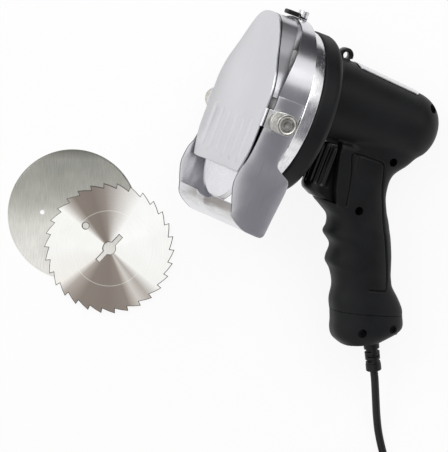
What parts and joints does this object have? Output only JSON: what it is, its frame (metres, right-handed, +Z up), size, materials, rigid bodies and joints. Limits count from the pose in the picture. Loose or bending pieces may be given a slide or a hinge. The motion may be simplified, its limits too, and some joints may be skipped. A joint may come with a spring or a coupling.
{
  "type": "electric kebab slicer",
  "caption": "Handheld electric kebab slicer lying on its side, with round blade, folded steel guard, gauge plate, trigger handle and mains cord, and spare round blades beside it.",
  "frame": {"origin": "on the table, under the middle of the slicer and its spare blades, without the cord and plug", "axes": "+Z up from the table; +X along the longest side, from the spare blades to the slicer's handle; +Y from the cord towards the slicer's top"},
  "size_m": [0.3381, 0.4636, 0.1542],
  "materials": {
    "black_moulding": "fine matte texture",
    "black_gloss": "glossy",
    "black_rubber": "soft matte",
    "cord_rubber": "smooth satin",
    "brushed_steel": "brushed",
    "bright_steel": "polished",
    "satin_plate": "fine satin",
    "nickel": "satin nickel",
    "dark_steel": "oiled",
    "bronze": "machined",
    "copper": "machined",
    "carbon": "matte graphite",
    "pale_plate": "satin, blank"
  },
  "bodies": {
    "slicer_body": {"housing_left": "black_moulding", "housing_right": "black_moulding", "handle_cap": "black_moulding", "cable_clamp": "black_moulding", "gear_case": "black_moulding", "gear_cover": "bright_steel", "blade_guard": "brushed_steel", "head_screw_1": "nickel", "head_screw_2": "nickel", "head_screw_3": "nickel", "head_screw_4": "nickel", "case_screw_1": "dark_steel", "case_screw_2": "dark_steel", "housing_screw_1": "dark_steel", "housing_screw_2": "dark_steel", "housing_screw_3": "dark_steel", "cap_screw_1": "dark_steel", "cap_screw_2": "dark_steel", "top_screw": "bright_steel", "rubber_buffer": "black_rubber", "idler_pin": "nickel", "spindle_bush_front": "bronze", "spindle_bush_rear": "bronze", "motor_can": "brushed_steel", "brush_plate": "black_moulding", "carbon_brush_left": "carbon", "carbon_brush_right": "carbon", "motor_bearing_front": "bright_steel", "motor_bearing_rear": "bright_steel", "switch_body": "black_gloss", "strain_relief": "black_rubber", "label_plate": "pale_plate", "hanging_eye": "black_gloss", "trigger_spring": "nickel", "cord_lead": "cord_rubber", "cord_coil": "cord_rubber", "cord_tie": "black_rubber", "plug_body": "black_gloss", "plug_pin_1": "nickel", "plug_pin_2": "nickel"},
    "trigger_body": {"trigger": "black_gloss"},
    "gauge_body": {"gauge_plate": "satin_plate"},
    "thumb_left_body": {"thumb_screw_left": "nickel", "thumb_washer_left": "nickel"},
    "thumb_right_body": {"thumb_screw_right": "nickel", "thumb_washer_right": "nickel"},
    "blade_rotor": {"mounted_blade": "brushed_steel", "blade_spindle": "nickel", "blade_hub": "dark_steel", "blade_nut": "nickel", "blade_gear": "dark_steel"},
    "idler_body": {"idler_gear": "bronze"},
    "motor_rotor": {"motor_shaft": "nickel", "motor_pinion": "dark_steel", "armature": "dark_steel", "commutator": "copper", "cooling_fan": "black_gloss"},
    "spare_smooth_body": {"spare_smooth_blade": "brushed_steel"},
    "spare_toothed_body": {"spare_toothed_blade": "bright_steel"}
  },
  "joints": [
    {"name": "trigger_press", "type": "slide", "parent": "slicer_body", "child": "trigger_body", "axis": [0.8562, -0.3287, -0.3987], "range_m": [0, 0.006], "stiffness_N_per_m": 700, "springref_m": -0.005, "deforming": ["trigger_spring"]},
    {"name": "gauge_slide", "type": "slide", "parent": "slicer_body", "child": "gauge_body", "axis": [-0.8562, 0.3287, 0.3987], "range_m": [-0.0015, 0.0065]},
    {"name": "thumb_left_turn", "type": "hinge", "parent": "slicer_body", "child": "thumb_left_body", "pos_m": [0.04845, 0.05505, 0.13343], "axis": [0.3924, -0.0883, 0.9156], "range_deg": [0, 720]},
    {"name": "thumb_right_turn", "type": "hinge", "parent": "slicer_body", "child": "thumb_right_body", "pos_m": [0.00019, 0.06592, 0.02082], "axis": [-0.3924, 0.0883, -0.9156], "range_deg": [0, 720]},
    {"name": "blade_spin", "type": "hinge", "parent": "slicer_body", "child": "blade_rotor", "pos_m": [0.04228, 0.029, 0.06639], "axis": [-0.8562, 0.3287, 0.3987], "continuous": true},
    {"name": "idler_spin", "type": "hinge", "parent": "slicer_body", "child": "idler_body", "pos_m": [0.05402, 0.06185, 0.06452], "axis": [-0.8562, 0.3287, 0.3987], "continuous": true},
    {"name": "motor_spin", "type": "hinge", "parent": "slicer_body", "child": "motor_rotor", "pos_m": [0.06043, 0.07978, 0.06351], "axis": [-0.8562, 0.3287, 0.3987], "continuous": true},
    {"name": "spare_smooth_lift", "type": "slide", "parent": "slicer_body", "child": "spare_smooth_body", "axis": [0, 0, 1], "range_m": [0, 0.1]},
    {"name": "spare_toothed_lift", "type": "slide", "parent": "spare_smooth_body", "child": "spare_toothed_body", "axis": [0, 0, 1], "range_m": [0, 0.1]}
  ],
  "couplings": [
    {"joint": "idler_spin", "follows": "blade_spin", "ratio": -1.75},
    {"joint": "motor_spin", "follows": "blade_spin", "ratio": 3.5}
  ]
}
